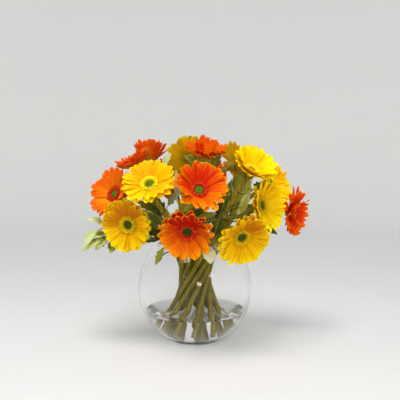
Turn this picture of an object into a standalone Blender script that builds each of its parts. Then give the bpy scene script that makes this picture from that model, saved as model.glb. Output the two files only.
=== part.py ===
"""Orange and yellow gerbera daisies in a round glass bowl that is part filled with water.

Metres, +Z up. The origin is the centre of the bowl's flat base, which stands on z = 0.
-Y is the side that the blooms face. Every bloom is three pieces: the ring of petals with its
collar of short florets, the green eye, and the stem with the calyx that carries both.
"""

import math
import random

import bmesh
import bpy
from mathutils import Vector

# Bowl: an ellipse turned about Z, flattened at the base and open at the top
BOWL_RADIUS = 0.100
BOWL_CENTRE_Z = 0.093
BASE_RADIUS = 0.046
MOUTH_RADIUS = 0.063
WALL = 0.004
BASE_THICKNESS = 0.008
BOWL_SIDES = 32
BOWL_LOWER_STEPS = 5
BOWL_UPPER_STEPS = 4

# Water and the clearance that touching pieces keep
WATER_LEVEL = 0.050
GAP = 0.0003

# Bloom, in its own frame: +Z is the way it faces, z = 0 is the middle of the petals' root
PETALS = 18
CORE_RADIUS = 0.0095
CORE_HALF_HEIGHT = 0.0008
PETAL_LENGTH = 0.0385
PETAL_STATIONS = ((0.40, 0.0045, 0.0006), (0.82, 0.0066, 0.0005), (1.00, 0.0036, 0.0004))
UPPER_SLOPE = math.radians(31)
LOWER_SLOPE = math.radians(18)
PETAL_DROOP = 0.15
COLLAR_TIP = (0.0142, 0.0054)
COLLAR_NOTCH = (0.0122, 0.0040)
EYE_SEAT_RADIUS = 0.0074
EYE_RINGS = ((0.0062, 0.0), (0.0053, 0.0023))
EYE_HEIGHT = 0.0034
EYE_SIDES = 8

# Stems: straight from the cut end, past the waist of the bundle, to above the mouth
STEM_RADIUS = 0.0040
STEM_SIDES = 6
CALYX_RINGS = ((0.0150, 0.0040), (0.0105, 0.0056), (0.0040, 0.0084), (0.0, 0.0088))
CURVE_STEPS = 5
WAIST_Z = 0.110
STRAIGHT_TOP_Z = 0.150
LOWER_HANDLE = 0.40
UPPER_HANDLE = 0.38
END_CLEARANCE = 0.0022
END_STEP = 0.0002
CUTTER_ABOVE = 0.010

# Waist circles of the bundle: radius, how far a stem leans per unit of height, first slot's
# angle, and the stems round the circle counter-clockwise
INNER_CIRCLE = (0.0054, 0.20, -120.0, ("top", "top_right_back", "top_back"))
MIDDLE_CIRCLE = (
    0.0138, 0.42, -160.0,
    (
        "centre", "foliage_right", "upper_right", "back_right", "back_left", "top_left",
        "upper_left",
    ),
)
OUTER_CIRCLE = (
    0.0245, 0.62, -236.0,
    (
        "far_left", "foliage_left", "lower_left", "foliage_front", "lower_centre", "lower_right",
        "right", "high_right", "far_right", "back_low", "foliage_back", "top_left_back",
    ),
)

YELLOW = (0.95, 0.72, 0.02)
ORANGE = (0.95, 0.22, 0.01)

# Blooms: name, colour, centre of the petals' root, the way the bloom faces, and how many
# degrees its petals stand up more than a flat bloom's
BLOOMS = (
    ("upper_left", YELLOW, (-0.073, -0.075, 0.274), (-0.16, -0.74, 0.65), 0),
    ("centre", ORANGE, (0.007, -0.104, 0.266), (0.22, -0.84, 0.48), 0),
    ("lower_centre", ORANGE, (-0.011, -0.124, 0.204), (0.00, -0.91, -0.40), 0),
    ("lower_left", YELLOW, (-0.108, -0.073, 0.209), (-0.30, -0.94, -0.13), 0),
    ("lower_right", YELLOW, (0.074, -0.102, 0.193), (0.31, -0.86, -0.40), 0),
    ("far_left", ORANGE, (-0.137, -0.032, 0.255), (-0.55, -0.72, 0.42), 0),
    ("top_left", ORANGE, (-0.106, 0.014, 0.306), (-0.60, -0.05, 0.79), 4),
    ("top_left_back", ORANGE, (-0.087, 0.081, 0.318), (0.00, 0.38, 0.93), 10),
    ("top_back", YELLOW, (-0.010, 0.047, 0.320), (-0.20, 0.80, 0.55), 0),
    ("top", ORANGE, (0.015, -0.015, 0.328), (0.08, -0.34, 0.93), 6),
    ("top_right_back", YELLOW, (0.070, 0.040, 0.306), (0.78, 0.48, 0.38), 0),
    ("upper_right", YELLOW, (0.096, -0.062, 0.295), (0.32, -0.68, 0.66), 10),
    ("right", YELLOW, (0.112, -0.057, 0.240), (0.76, -0.64, 0.10), 6),
    ("high_right", YELLOW, (0.133, 0.011, 0.273), (0.70, -0.48, 0.53), 0),
    ("far_right", ORANGE, (0.176, 0.012, 0.225), (0.86, -0.48, -0.12), 0),
    ("back_left", ORANGE, (-0.042, 0.080, 0.281), (-0.38, 0.89, 0.22), 0),
    ("back_right", ORANGE, (0.022, 0.097, 0.284), (0.25, 0.92, 0.25), 0),
    ("back_low", YELLOW, (-0.017, 0.115, 0.181), (-0.05, 0.98, -0.20), 0),
)

# Foliage: end of each spray's main stem and the way it points there
FOLIAGE_STEM_RADIUS = 0.0022
FOLIAGE_STEM_SIDES = 5
FOLIAGE_CURVE_STEPS = 6
SPRAYS = (
    ("foliage_left", (-0.092, -0.038, 0.196), (-0.90, -0.10, 0.20)),
    ("foliage_front", (-0.020, -0.062, 0.226), (0.10, -0.20, 0.90)),
    ("foliage_right", (0.060, -0.018, 0.258), (0.40, 0.20, 0.90)),
    ("foliage_back", (-0.034, 0.058, 0.262), (-0.20, 0.20, 0.90)),
)

# Leaves: spray, share of its main stem's curve where the leaf stalk leaves it, base and tip
# of the blade, the blade's width and the way its upper side faces
FRONT_FACE = (0.0, -0.75, 0.66)
BACK_FACE = (0.0, 0.60, 0.80)
STALK_HALF_WIDTH = 0.0008
STALK_HANDLE = 0.30
STALK_STEPS = 2
BLADE_HALF_THICKNESS = 0.00035
BLADE_ARCH = 0.10
BLADE_STATIONS = (
    (0.18, 0.66), (0.29, 0.46), (0.47, 1.00), (0.60, 0.58), (0.76, 0.62), (1.00, 0.06),
)
LEAVES = (
    ("foliage_left", 0.95, (-0.152, -0.040, 0.191), (-0.189, -0.050, 0.165), 0.026, FRONT_FACE),
    ("foliage_left", 0.95, (-0.148, -0.044, 0.187), (-0.163, -0.055, 0.166), 0.015, FRONT_FACE),
    ("foliage_left", 0.85, (-0.154, -0.035, 0.206), (-0.181, -0.045, 0.217), 0.011, FRONT_FACE),
    ("foliage_left", 0.80, (-0.139, -0.045, 0.180), (-0.141, -0.055, 0.158), 0.010, FRONT_FACE),
    ("foliage_left", 0.45, (-0.070, -0.033, 0.209), (-0.095, -0.044, 0.234), 0.011, FRONT_FACE),
    ("foliage_left", 0.35, (-0.050, -0.018, 0.220), (-0.082, -0.024, 0.248), 0.022, FRONT_FACE),
    ("foliage_left", 0.55, (-0.075, -0.046, 0.187), (-0.095, -0.054, 0.180), 0.009, FRONT_FACE),
    ("foliage_front", 0.75, (-0.046, -0.032, 0.237), (-0.023, -0.038, 0.262), 0.015, FRONT_FACE),
    ("foliage_front", 0.85, (-0.024, -0.078, 0.230), (0.018, -0.097, 0.246), 0.018, FRONT_FACE),
    ("foliage_front", 0.80, (0.006, -0.075, 0.213), (0.035, -0.083, 0.229), 0.014, FRONT_FACE),
    ("foliage_front", 0.15, (-0.050, -0.080, 0.173), (-0.063, -0.084, 0.144), 0.009, FRONT_FACE),
    ("foliage_front", 0.25, (-0.055, -0.068, 0.186), (-0.078, -0.072, 0.179), 0.008, FRONT_FACE),
    ("foliage_right", 0.35, (0.022, -0.086, 0.176), (0.026, -0.092, 0.147), 0.019, FRONT_FACE),
    ("foliage_right", 0.30, (0.033, -0.080, 0.180), (0.043, -0.084, 0.162), 0.009, FRONT_FACE),
    ("foliage_right", 0.75, (0.078, -0.038, 0.225), (0.095, -0.040, 0.264), 0.017, FRONT_FACE),
    ("foliage_right", 0.80, (0.070, -0.030, 0.235), (0.065, -0.032, 0.269), 0.014, FRONT_FACE),
    ("foliage_right", 0.95, (0.100, -0.016, 0.263), (0.117, -0.024, 0.277), 0.014, FRONT_FACE),
    ("foliage_right", 0.60, (0.084, -0.026, 0.214), (0.100, -0.024, 0.238), 0.014, FRONT_FACE),
    ("foliage_right", 0.30, (0.120, -0.025, 0.198), (0.141, -0.030, 0.187), 0.010, FRONT_FACE),
    ("foliage_right", 0.95, (0.028, -0.005, 0.296), (0.047, -0.008, 0.324), 0.017, FRONT_FACE),
    ("foliage_back", 0.95, (-0.059, 0.040, 0.305), (-0.042, 0.038, 0.328), 0.012, FRONT_FACE),
    ("foliage_back", 0.50, (-0.060, 0.070, 0.205), (-0.095, 0.085, 0.195), 0.018, BACK_FACE),
    ("foliage_back", 0.60, (-0.035, 0.075, 0.205), (-0.058, 0.112, 0.192), 0.016, BACK_FACE),
    ("foliage_back", 0.70, (0.015, 0.075, 0.210), (0.040, 0.112, 0.198), 0.018, BACK_FACE),
    ("foliage_back", 0.55, (0.050, 0.062, 0.205), (0.088, 0.085, 0.200), 0.018, BACK_FACE),
    ("foliage_back", 0.40, (-0.078, 0.044, 0.200), (-0.115, 0.052, 0.190), 0.018, BACK_FACE),
)


def clear_scene():
    """Remove every object that the file opened with."""
    for item in list(bpy.data.objects):
        bpy.data.objects.remove(item, do_unlink=True)


def make_material(name, colour, roughness, alpha=1.0):
    """Return a Principled material of one colour."""
    material = bpy.data.materials.new(name)
    material.use_nodes = True
    shader = material.node_tree.nodes["Principled BSDF"]
    shader.inputs["Base Color"].default_value = (*colour, 1.0)
    shader.inputs["Roughness"].default_value = roughness
    shader.inputs["Metallic"].default_value = 0.0
    shader.inputs["Alpha"].default_value = alpha
    return material


def add_object(name, shape, material):
    """Turn a closed bmesh into a named object with its faces pointing out."""
    bmesh.ops.recalc_face_normals(shape, faces=shape.faces)
    mesh = bpy.data.meshes.new(name)
    shape.to_mesh(mesh)
    shape.free()
    mesh.materials.append(material)
    item = bpy.data.objects.new(name, mesh)
    bpy.context.collection.objects.link(item)
    return item


def side_vectors(axis, spin=0.0):
    """Return two unit vectors square to the axis and to each other, turned by the spin."""
    reference = Vector((0, 0, 1)) if abs(axis.z) < 0.95 else Vector((0, 1, 0))
    first = reference.cross(axis).normalized()
    second = axis.cross(first)
    turned = first * math.cos(spin) + second * math.sin(spin)
    return turned, axis.cross(turned)


def lathe(profile, sides):
    """Turn a profile of (radius, z) points about Z; points on the axis become poles."""
    shape = bmesh.new()
    rings = []
    for radius, z in profile:
        if radius < 1e-9:
            rings.append([shape.verts.new((0, 0, z))])
            continue
        angles = [2 * math.pi * k / sides for k in range(sides)]
        rings.append([shape.verts.new((radius * math.cos(a), radius * math.sin(a), z))
                      for a in angles])
    for lower, upper in zip(rings, rings[1:]):
        for k in range(sides):
            corners = [lower[k % len(lower)], lower[(k + 1) % len(lower)],
                       upper[(k + 1) % len(upper)], upper[k % len(upper)]]
            shape.faces.new(list(dict.fromkeys(corners)))
    return shape


def outer_depth():
    """Lower semi-axis of the bowl's outside, which meets z = 0 at the base's radius."""
    return BOWL_CENTRE_Z / math.sqrt(1 - (BASE_RADIUS / BOWL_RADIUS) ** 2)


def inner_depth():
    """Lower semi-axis of the bowl's inside."""
    return outer_depth() - WALL


def bowl_arc(radius, depth, start_radius, steps):
    """Points of a bowl ellipse, from a start radius low down up to its widest ring."""
    start = math.asin(start_radius / radius)
    angles = [start + (math.pi / 2 - start) * k / steps for k in range(steps + 1)]
    return [(radius * math.sin(a), BOWL_CENTRE_Z - depth * math.cos(a)) for a in angles]


def mouth_arc(radius, end_radius, steps):
    """Points of a circle from its widest ring up to an end radius, without the first."""
    end = math.acos(end_radius / radius)
    angles = [end * k / steps for k in range(1, steps + 1)]
    return [(radius * math.cos(a), BOWL_CENTRE_Z + radius * math.sin(a)) for a in angles]


def inside_profile():
    """Points of the bowl's inside, from the edge of its floor up to its mouth."""
    wide = BOWL_RADIUS - WALL
    drop = (BOWL_CENTRE_Z - BASE_THICKNESS) / inner_depth()
    floor_radius = wide * math.sqrt(1 - drop ** 2)
    inside = bowl_arc(wide, inner_depth(), floor_radius, BOWL_LOWER_STEPS)
    return inside + mouth_arc(wide, MOUTH_RADIUS - WALL / 2, BOWL_UPPER_STEPS)


def make_bowl():
    """Make the glass bowl, with a thick base and a rounded rim."""
    outside = bowl_arc(BOWL_RADIUS, outer_depth(), BASE_RADIUS, BOWL_LOWER_STEPS)
    outside += mouth_arc(BOWL_RADIUS, MOUTH_RADIUS + WALL / 2, BOWL_UPPER_STEPS)
    inside = inside_profile()
    rim_z = max(outside[-1][1], inside[-1][1]) + WALL / 4
    profile = [(0.0, 0.0)] + outside + [(MOUTH_RADIUS, rim_z)] + inside[::-1]
    profile.append((0.0, BASE_THICKNESS))
    glass = make_material("clear_glass", (0.93, 0.96, 0.96), 0.03, 0.3)
    return add_object("vase", lathe(profile, BOWL_SIDES), glass)


def tube(shape, points, radii, sides):
    """Sweep a closed tube with flat ends along points, with one radius for each point."""
    tangents = []
    for k in range(len(points)):
        before = points[max(k - 1, 0)]
        after = points[min(k + 1, len(points) - 1)]
        tangents.append((after - before).normalized())
    first, second = side_vectors(tangents[0])
    rings = []
    for point, tangent, radius in zip(points, tangents, radii):
        first = (first - tangent * first.dot(tangent)).normalized()
        second = tangent.cross(first)
        ring = []
        for k in range(sides):
            angle = 2 * math.pi * k / sides
            offset = first * math.cos(angle) + second * math.sin(angle)
            ring.append(shape.verts.new(point + offset * radius))
        rings.append(ring)
    for lower, upper in zip(rings, rings[1:]):
        for k in range(sides):
            m = (k + 1) % sides
            shape.faces.new((lower[k], lower[m], upper[m], upper[k]))
    shape.faces.new(rings[0][::-1])
    shape.faces.new(rings[-1])


def waist_line(name):
    """Return a stem's point on its waist circle and the direction that it rises in."""
    for radius, lean, first_angle, names in (INNER_CIRCLE, MIDDLE_CIRCLE, OUTER_CIRCLE):
        if name not in names:
            continue
        turn = math.radians(first_angle + 360.0 * names.index(name) / len(names))
        point = Vector((radius * math.cos(turn), radius * math.sin(turn), WAIST_Z))
        rise = Vector((-math.sin(turn) * lean, math.cos(turn) * lean, 1.0))
        return point, rise.normalized()
    raise ValueError(name)


def room_at(point):
    """Smallest distance from a point to the bowl's inside, floor and wall alike."""
    floor_room = point.z - BASE_THICKNESS
    radius = math.hypot(point.x, point.y)
    depth = inner_depth()
    wide = BOWL_RADIUS - WALL
    height = BOWL_CENTRE_Z - point.z
    level = (radius / wide) ** 2 + (height / depth) ** 2
    slope = 2 * math.hypot(radius / wide ** 2, height / depth ** 2)
    return min(floor_room, (1 - level) / slope)


def cut_end(name, radius):
    """Follow a stem's line down from the waist to just above the glass."""
    point, rise = waist_line(name)
    needed = radius + END_CLEARANCE
    while room_at(point - rise * END_STEP) > needed:
        point = point - rise * END_STEP
    return point


def bezier(start, first_handle, second_handle, end, steps):
    """Points of a cubic curve after its start, up to and with its end."""
    points = []
    for k in range(1, steps + 1):
        t = k / steps
        u = 1 - t
        points.append(start * u ** 3 + first_handle * 3 * u * u * t
                      + second_handle * 3 * u * t * t + end * t ** 3)
    return points


def straight_top(name):
    """Return the point where a stem leaves its straight stretch, and its direction there."""
    point, rise = waist_line(name)
    return point + rise * ((STRAIGHT_TOP_Z - WAIST_Z) / rise.z), rise


def stem_points(name, centre, facing):
    """Centre line of a stem, from its cut end to the top of its calyx, with radii."""
    top, rise = straight_top(name)
    neck = centre - facing * (CORE_HALF_HEIGHT + GAP + CALYX_RINGS[0][0])
    reach = (neck - top).length
    points = [cut_end(name, STEM_RADIUS), top]
    points += bezier(top, top + rise * reach * LOWER_HANDLE,
                     neck - facing * reach * UPPER_HANDLE, neck, CURVE_STEPS)
    radii = [STEM_RADIUS] * len(points)
    for below, radius in CALYX_RINGS[1:]:
        points.append(centre - facing * (CORE_HALF_HEIGHT + GAP + below))
        radii.append(radius)
    return points, radii


def make_stem(name, centre, facing, material):
    """Make one stem with its calyx."""
    shape = bmesh.new()
    points, radii = stem_points(name, centre, facing)
    tube(shape, points, radii, STEM_SIDES)
    return add_object("stem_" + name, shape, material)


def strip_faces(shape, before, after):
    """Join two four-cornered sections; the wide faces share the direction of their diagonal."""
    shape.faces.new((before[0], before[1], after[1]))
    shape.faces.new((before[0], after[1], after[0]))
    shape.faces.new((before[3], after[2], before[2]))
    shape.faces.new((before[3], after[3], after[2]))
    shape.faces.new((before[1], before[2], after[2], after[1]))
    shape.faces.new((before[3], before[0], after[0], after[3]))


def add_petal(shape, place, root, angle, slope, chance):
    """Grow one petal out of a side of the core, through a few four-cornered sections."""
    length = PETAL_LENGTH * chance.uniform(0.94, 1.04)
    slope += math.radians(chance.uniform(-2.5, 2.5))
    twist = math.radians(chance.uniform(-14, 14))
    outward = Vector((math.cos(angle), math.sin(angle), 0))
    across = Vector((-math.sin(angle), math.cos(angle), 0))
    start = CORE_RADIUS * math.cos(math.pi / PETALS)
    section = root
    for share, half_width, half_thickness in PETAL_STATIONS:
        rise = length * (math.tan(slope) * share - PETAL_DROOP * share * share)
        run = length * share * math.cos(slope)
        middle = outward * (start + run) + Vector((0, 0, rise))
        grade = math.tan(slope) - 2 * PETAL_DROOP * share
        along = (outward + Vector((0, 0, grade))).normalized()
        face = along.cross(across)
        side = across * math.cos(twist * share) + face * math.sin(twist * share)
        top = along.cross(side) * -1
        if top.z < 0:
            top = top * -1
        corners = ((-1, 1), (1, 1), (1, -1), (-1, -1))
        after = [place(middle + side * half_width * a + top * half_thickness * b)
                 for a, b in corners]
        strip_faces(shape, section, after)
        section = after
    shape.faces.new(section)


def make_petals(name, centre, facing, cup, material, seed):
    """Make a bloom's petals, in two staggered layers, with the collar of short florets."""
    chance = random.Random(seed)
    shape = bmesh.new()
    first, second = side_vectors(facing, chance.uniform(0, 2 * math.pi))

    def place(local):
        return shape.verts.new(centre + first * local.x + second * local.y + facing * local.z)

    def ring(count, radius, z, offset=0):
        angles = [2 * math.pi * (k + offset) / count for k in range(count)]
        return [place(Vector((radius * math.cos(a), radius * math.sin(a), z))) for a in angles]

    upper = ring(PETALS, CORE_RADIUS, CORE_HALF_HEIGHT)
    lower = ring(PETALS, CORE_RADIUS, -CORE_HALF_HEIGHT)
    shape.faces.new(lower[::-1])
    for k in range(PETALS):
        m = (k + 1) % PETALS
        slope = (UPPER_SLOPE if k % 2 == 0 else LOWER_SLOPE) + math.radians(cup)
        angle = 2 * math.pi * (k + 0.5) / PETALS
        add_petal(shape, place, [upper[k], upper[m], lower[m], lower[k]], angle, slope, chance)

    teeth = []
    for k in range(PETALS):
        radius, z = COLLAR_TIP if k % 2 == 0 else COLLAR_NOTCH
        angle = 2 * math.pi * k / PETALS
        teeth.append(place(Vector((radius * math.cos(angle), radius * math.sin(angle), z))))
    seat = ring(PETALS // 2, EYE_SEAT_RADIUS, CORE_HALF_HEIGHT, 0.5)
    for k in range(PETALS):
        m = (k + 1) % PETALS
        shape.faces.new((upper[k], teeth[k], teeth[m], upper[m]))
        here = seat[k // 2]
        shape.faces.new((teeth[k], here, teeth[m]))
        if k % 2 == 1:
            shape.faces.new((teeth[m], here, seat[(k // 2 + 1) % len(seat)]))
    shape.faces.new(seat)
    return add_object("petals_" + name, shape, material)


def make_eye(name, centre, facing, material):
    """Make the domed green eye, which sits inside the collar."""
    shape = bmesh.new()
    first, second = side_vectors(facing)
    seat = centre + facing * (CORE_HALF_HEIGHT + GAP)
    rings = []
    for radius, height in EYE_RINGS:
        ring = []
        for k in range(EYE_SIDES):
            angle = 2 * math.pi * k / EYE_SIDES
            offset = first * math.cos(angle) + second * math.sin(angle)
            ring.append(shape.verts.new(seat + offset * radius + facing * height))
        rings.append(ring)
    crown = shape.verts.new(seat + facing * EYE_HEIGHT)
    shape.faces.new(rings[0][::-1])
    for k in range(EYE_SIDES):
        m = (k + 1) % EYE_SIDES
        shape.faces.new((rings[0][k], rings[0][m], rings[1][m], rings[1][k]))
        shape.faces.new((rings[1][k], rings[1][m], crown))
    return add_object("eye_" + name, shape, material)


def spray_curve(name, end, pointing):
    """Points of a spray's main stem above its straight stretch, first point included."""
    top, rise = straight_top(name)
    reach = (end - top).length
    points = bezier(top, top + rise * reach * LOWER_HANDLE,
                    end - pointing * reach * LOWER_HANDLE, end, FOLIAGE_CURVE_STEPS)
    return [top] + points


def point_along(points, share):
    """Return the point at a share of the way along a list of evenly counted points."""
    place = share * (len(points) - 1)
    k = min(int(place), len(points) - 2)
    return points[k].lerp(points[k + 1], place - k)


def leaf_shape(root, base, tip, width, face):
    """Return one leaf: a stalk from the main stem, then a lobed blade that arches over."""
    shape = bmesh.new()
    blade = tip - base
    along = blade.normalized()
    across = along.cross(Vector(face)).normalized()
    arch = across.cross(along)
    handle = (base - root).length * STALK_HANDLE
    stalk = [root] + bezier(root, root.lerp(base, STALK_HANDLE), base - along * handle, base,
                            STALK_STEPS)
    stations = [(point, STALK_HALF_WIDTH, STALK_HALF_WIDTH) for point in stalk]
    for share, wide in BLADE_STATIONS:
        lift = arch * blade.length * BLADE_ARCH * 4 * share * (1 - share)
        half_width = max(wide * width / 2, STALK_HALF_WIDTH)
        stations.append((base + blade * share + lift, half_width, BLADE_HALF_THICKNESS))
    sections = []
    for k in reversed(range(len(stations))):
        point, half_width, half_thickness = stations[k]
        before = stations[max(k - 1, 0)][0]
        after = stations[min(k + 1, len(stations) - 1)][0]
        tangent = (after - before).normalized()
        across = (across - tangent * across.dot(tangent)).normalized()
        thick = across.cross(tangent)
        corners = ((-1, 1), (1, 1), (1, -1), (-1, -1))
        sections.append([shape.verts.new(point + across * half_width * a
                                         + thick * half_thickness * b)
                         for a, b in corners])
    for before, after in zip(sections, sections[1:]):
        strip_faces(shape, before, after)
    shape.faces.new(sections[0][::-1])
    shape.faces.new(sections[-1])
    return shape


def make_spray(name, end, pointing, material):
    """Make one leafy stem: its leaves are joined to the main stem by one union."""
    curve = spray_curve(name, Vector(end), Vector(pointing).normalized())
    shape = bmesh.new()
    points = [cut_end(name, FOLIAGE_STEM_RADIUS)] + curve
    tube(shape, points, [FOLIAGE_STEM_RADIUS] * len(points), FOLIAGE_STEM_SIDES)
    spray = add_object(name, shape, material)

    leaves = bpy.data.collections.new(name + "_leaves")
    bpy.context.scene.collection.children.link(leaves)
    for spray_name, share, base, tip, width, face in LEAVES:
        if spray_name != name:
            continue
        root = point_along(curve, share)
        leaf = add_object("leaf", leaf_shape(root, Vector(base), Vector(tip), width, face),
                          material)
        bpy.context.collection.objects.unlink(leaf)
        leaves.objects.link(leaf)
    join = spray.modifiers.new("leaves", "BOOLEAN")
    join.operation = "UNION"
    join.operand_type = "COLLECTION"
    join.collection = leaves
    with bpy.context.temp_override(object=spray, active_object=spray):
        bpy.ops.object.modifier_apply(modifier=join.name)
    for leaf in list(leaves.objects):
        bpy.data.objects.remove(leaf, do_unlink=True)
    bpy.data.collections.remove(leaves)


def make_water(holes):
    """Make the water, with a plain blind hole round each stem that stands in it."""
    inside = inside_profile()
    floor = BASE_THICKNESS + GAP
    profile = [(0.0, floor), (inside[0][0] - 2 * GAP, floor)]
    for (radius, z), (upper_radius, upper_z) in zip(inside, inside[1:]):
        if upper_z < WATER_LEVEL:
            profile.append((upper_radius - 2 * GAP, upper_z))
        elif z < WATER_LEVEL:
            share = (WATER_LEVEL - z) / (upper_z - z)
            profile.append((radius + (upper_radius - radius) * share - 2 * GAP, WATER_LEVEL))
    profile.append((0.0, WATER_LEVEL))
    tint = make_material("clear_water", (0.90, 0.95, 0.95), 0.02, 0.3)
    water = add_object("water", lathe(profile, BOWL_SIDES), tint)

    shape = bmesh.new()
    for name, radius, sides in holes:
        _, rise = waist_line(name)
        end = cut_end(name, radius) - rise * GAP
        above = end + rise * ((WATER_LEVEL + CUTTER_ABOVE - end.z) / rise.z)
        wide = radius + GAP / math.cos(math.pi / sides)
        tube(shape, [end, above], [wide, wide], sides)
    cutter = add_object("water_cutter", shape, tint)
    cutter.hide_render = True
    cutter.display_type = "WIRE"
    cut = water.modifiers.new("stem_holes", "BOOLEAN")
    cut.operation = "DIFFERENCE"
    cut.object = cutter
    return water


def main():
    """Build the whole arrangement."""
    clear_scene()
    make_bowl()
    stem_green = make_material("stem_green", (0.20, 0.20, 0.03), 0.5)
    eye_green = make_material("eye_green", (0.10, 0.28, 0.02), 0.7)
    petal_materials = {
        YELLOW: make_material("petal_yellow", YELLOW, 0.5),
        ORANGE: make_material("petal_orange", ORANGE, 0.5),
    }
    holes = []
    for seed, (name, colour, centre, facing, cup) in enumerate(BLOOMS):
        centre = Vector(centre)
        facing = Vector(facing).normalized()
        make_petals(name, centre, facing, cup, petal_materials[colour], seed)
        make_eye(name, centre, facing, eye_green)
        make_stem(name, centre, facing, stem_green)
        holes.append((name, STEM_RADIUS, STEM_SIDES))
    leaf_green = make_material("leaf_green", (0.13, 0.24, 0.05), 0.6)
    for name, end, pointing in SPRAYS:
        make_spray(name, end, pointing, leaf_green)
        holes.append((name, FOLIAGE_STEM_RADIUS, FOLIAGE_STEM_SIDES))
    make_water(holes)


main()
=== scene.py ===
import math
import bpy
import numpy as np
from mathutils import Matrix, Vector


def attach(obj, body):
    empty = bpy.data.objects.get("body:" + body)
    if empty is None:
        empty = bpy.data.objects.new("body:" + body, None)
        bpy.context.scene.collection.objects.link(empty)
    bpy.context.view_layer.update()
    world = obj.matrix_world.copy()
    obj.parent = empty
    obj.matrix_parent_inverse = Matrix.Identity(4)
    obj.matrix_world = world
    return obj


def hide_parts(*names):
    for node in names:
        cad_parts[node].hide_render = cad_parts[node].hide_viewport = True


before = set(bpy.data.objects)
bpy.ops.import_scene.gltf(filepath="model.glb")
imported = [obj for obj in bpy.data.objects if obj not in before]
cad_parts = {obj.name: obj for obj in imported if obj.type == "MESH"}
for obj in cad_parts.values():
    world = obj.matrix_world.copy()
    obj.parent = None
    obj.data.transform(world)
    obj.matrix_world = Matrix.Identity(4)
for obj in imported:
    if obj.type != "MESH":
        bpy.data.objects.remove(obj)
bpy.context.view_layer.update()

# Camera: its focal length in pixels of the 400-pixel frame, and its place and pitch
FRAME_PIXELS = 400
FOCAL_PIXELS = 570
SENSOR_WIDTH = 36
CAMERA_PLACE = (0.0088, -1.0, 0.303)
CAMERA_PITCH = math.radians(3.32)

# The floor lies a hair below the base, so that the two don't meet in one plane
FLOOR_DROP = 0.0003
FLOOR_SIDES = 96
# Soft lights: name, place, size, power, colour
LIGHT_AIM = (0, 0, 0.2)
LIGHTS = (
    ("key", (-0.25, -0.65, 1.8), 0.8, 22.0, (1.0, 0.98, 0.95)),
    ("fill", (1.1, -1.5, 1.1), 0.3, 4.0, (0.95, 0.98, 1.0)),
    ("front", (0.27, -1.92, 0.63), 0.3, 9.0, (0.98, 0.99, 1.0)),
)

# Bowl and water, as in the CAD model
BOWL_RADIUS = 0.1
BOWL_CENTRE_Z = 0.093
BASE_RADIUS = 0.046
# Lower semi-axis of the bowl's outside, which meets z = 0 at the base's radius
BOWL_DEPTH = BOWL_CENTRE_Z / math.sqrt(1 - (BASE_RADIUS / BOWL_RADIUS) ** 2)
MOUTH_RADIUS = 0.063
WALL = 0.004
BASE_THICKNESS = 0.008
WATER_LEVEL = 0.05
# Raised edge of the water: steps out and up from where its level meets the wall
WATER_EDGE = ((0.0005, 0.002), (-0.0006, 0.0014), (-0.0022, 0.0005), (-0.005, 0.0))
BOWL_STEPS = 28
BOWL_SIDES = 160

# Bloom, in its own frame: +Z is the way it faces, z = 0 is the middle of the petals' root
CORE_RADIUS = 0.0094
CORE_HALF_HEIGHT = 0.0008
PETAL_LENGTH = 0.0385
PETAL_DROOP = 0.15
PETAL_THICKNESS = 0.0004
GAP = 0.0003

# Stems
STEM_RADIUS = 0.004
CALYX_RINGS = ((0.015, 0.004), (0.0125, 0.0046), (0.0105, 0.0056), (0.007, 0.0072),
               (0.004, 0.0084), (0.0015, 0.0088), (0.0, 0.0086))
WAIST_Z = 0.11
STRAIGHT_TOP_Z = 0.15
LOWER_HANDLE = 0.4
UPPER_HANDLE = 0.38
STRAIGHT_STEPS = 14
BEND_STEPS = 22
STEM_SIDES = 14
END_CLEARANCE = 0.0022
END_STEP, END_STEPS = 0.0002, 900
FOLIAGE_STEM_RADIUS = 0.0022
FOLIAGE_STRAIGHT_STEPS, FOLIAGE_BEND_STEPS, FOLIAGE_SIDES = 10, 24, 10
# Stems that are thicker above the bowl than the rest
STOUT_STEMS = {"upper_right": 1.28}
# Rings of bracts on the calyx: count, distance of root and tip behind the bloom, how far they
# stand off the calyx, and the turn in parts of their spacing
BRACT_RINGS = ((13, 0.0135, 0.0005, 0.0006, 0.0), (11, 0.0145, 0.0055, 0.0011, 0.5))
BRACT_HALF_WIDTH = 0.0022
BRACT_THICKNESS = 0.0004

# Seeds of each kind of part, to which the part's own number is added
PETAL_SEED, BRACT_SEED, EYE_SEED = 11, 500, 900
LEAF_SEED, MORE_LEAF_SEED = 40, 80

# Waist circles of the bundle: radius, lean, first slot's angle, and the stems round it
WAIST_CIRCLES = (
    (0.0054, 0.2, -120.0, ("top", "top_right_back", "top_back")),
    (0.0138, 0.42, -160.0, (
        "centre", "foliage_right", "upper_right", "back_right", "back_left", "top_left",
        "upper_left")),
    (0.0245, 0.62, -236.0, (
        "far_left", "foliage_left", "lower_left", "foliage_front", "lower_centre",
        "lower_right", "right", "high_right", "far_right", "back_low", "foliage_back",
        "top_left_back")),
)

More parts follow.
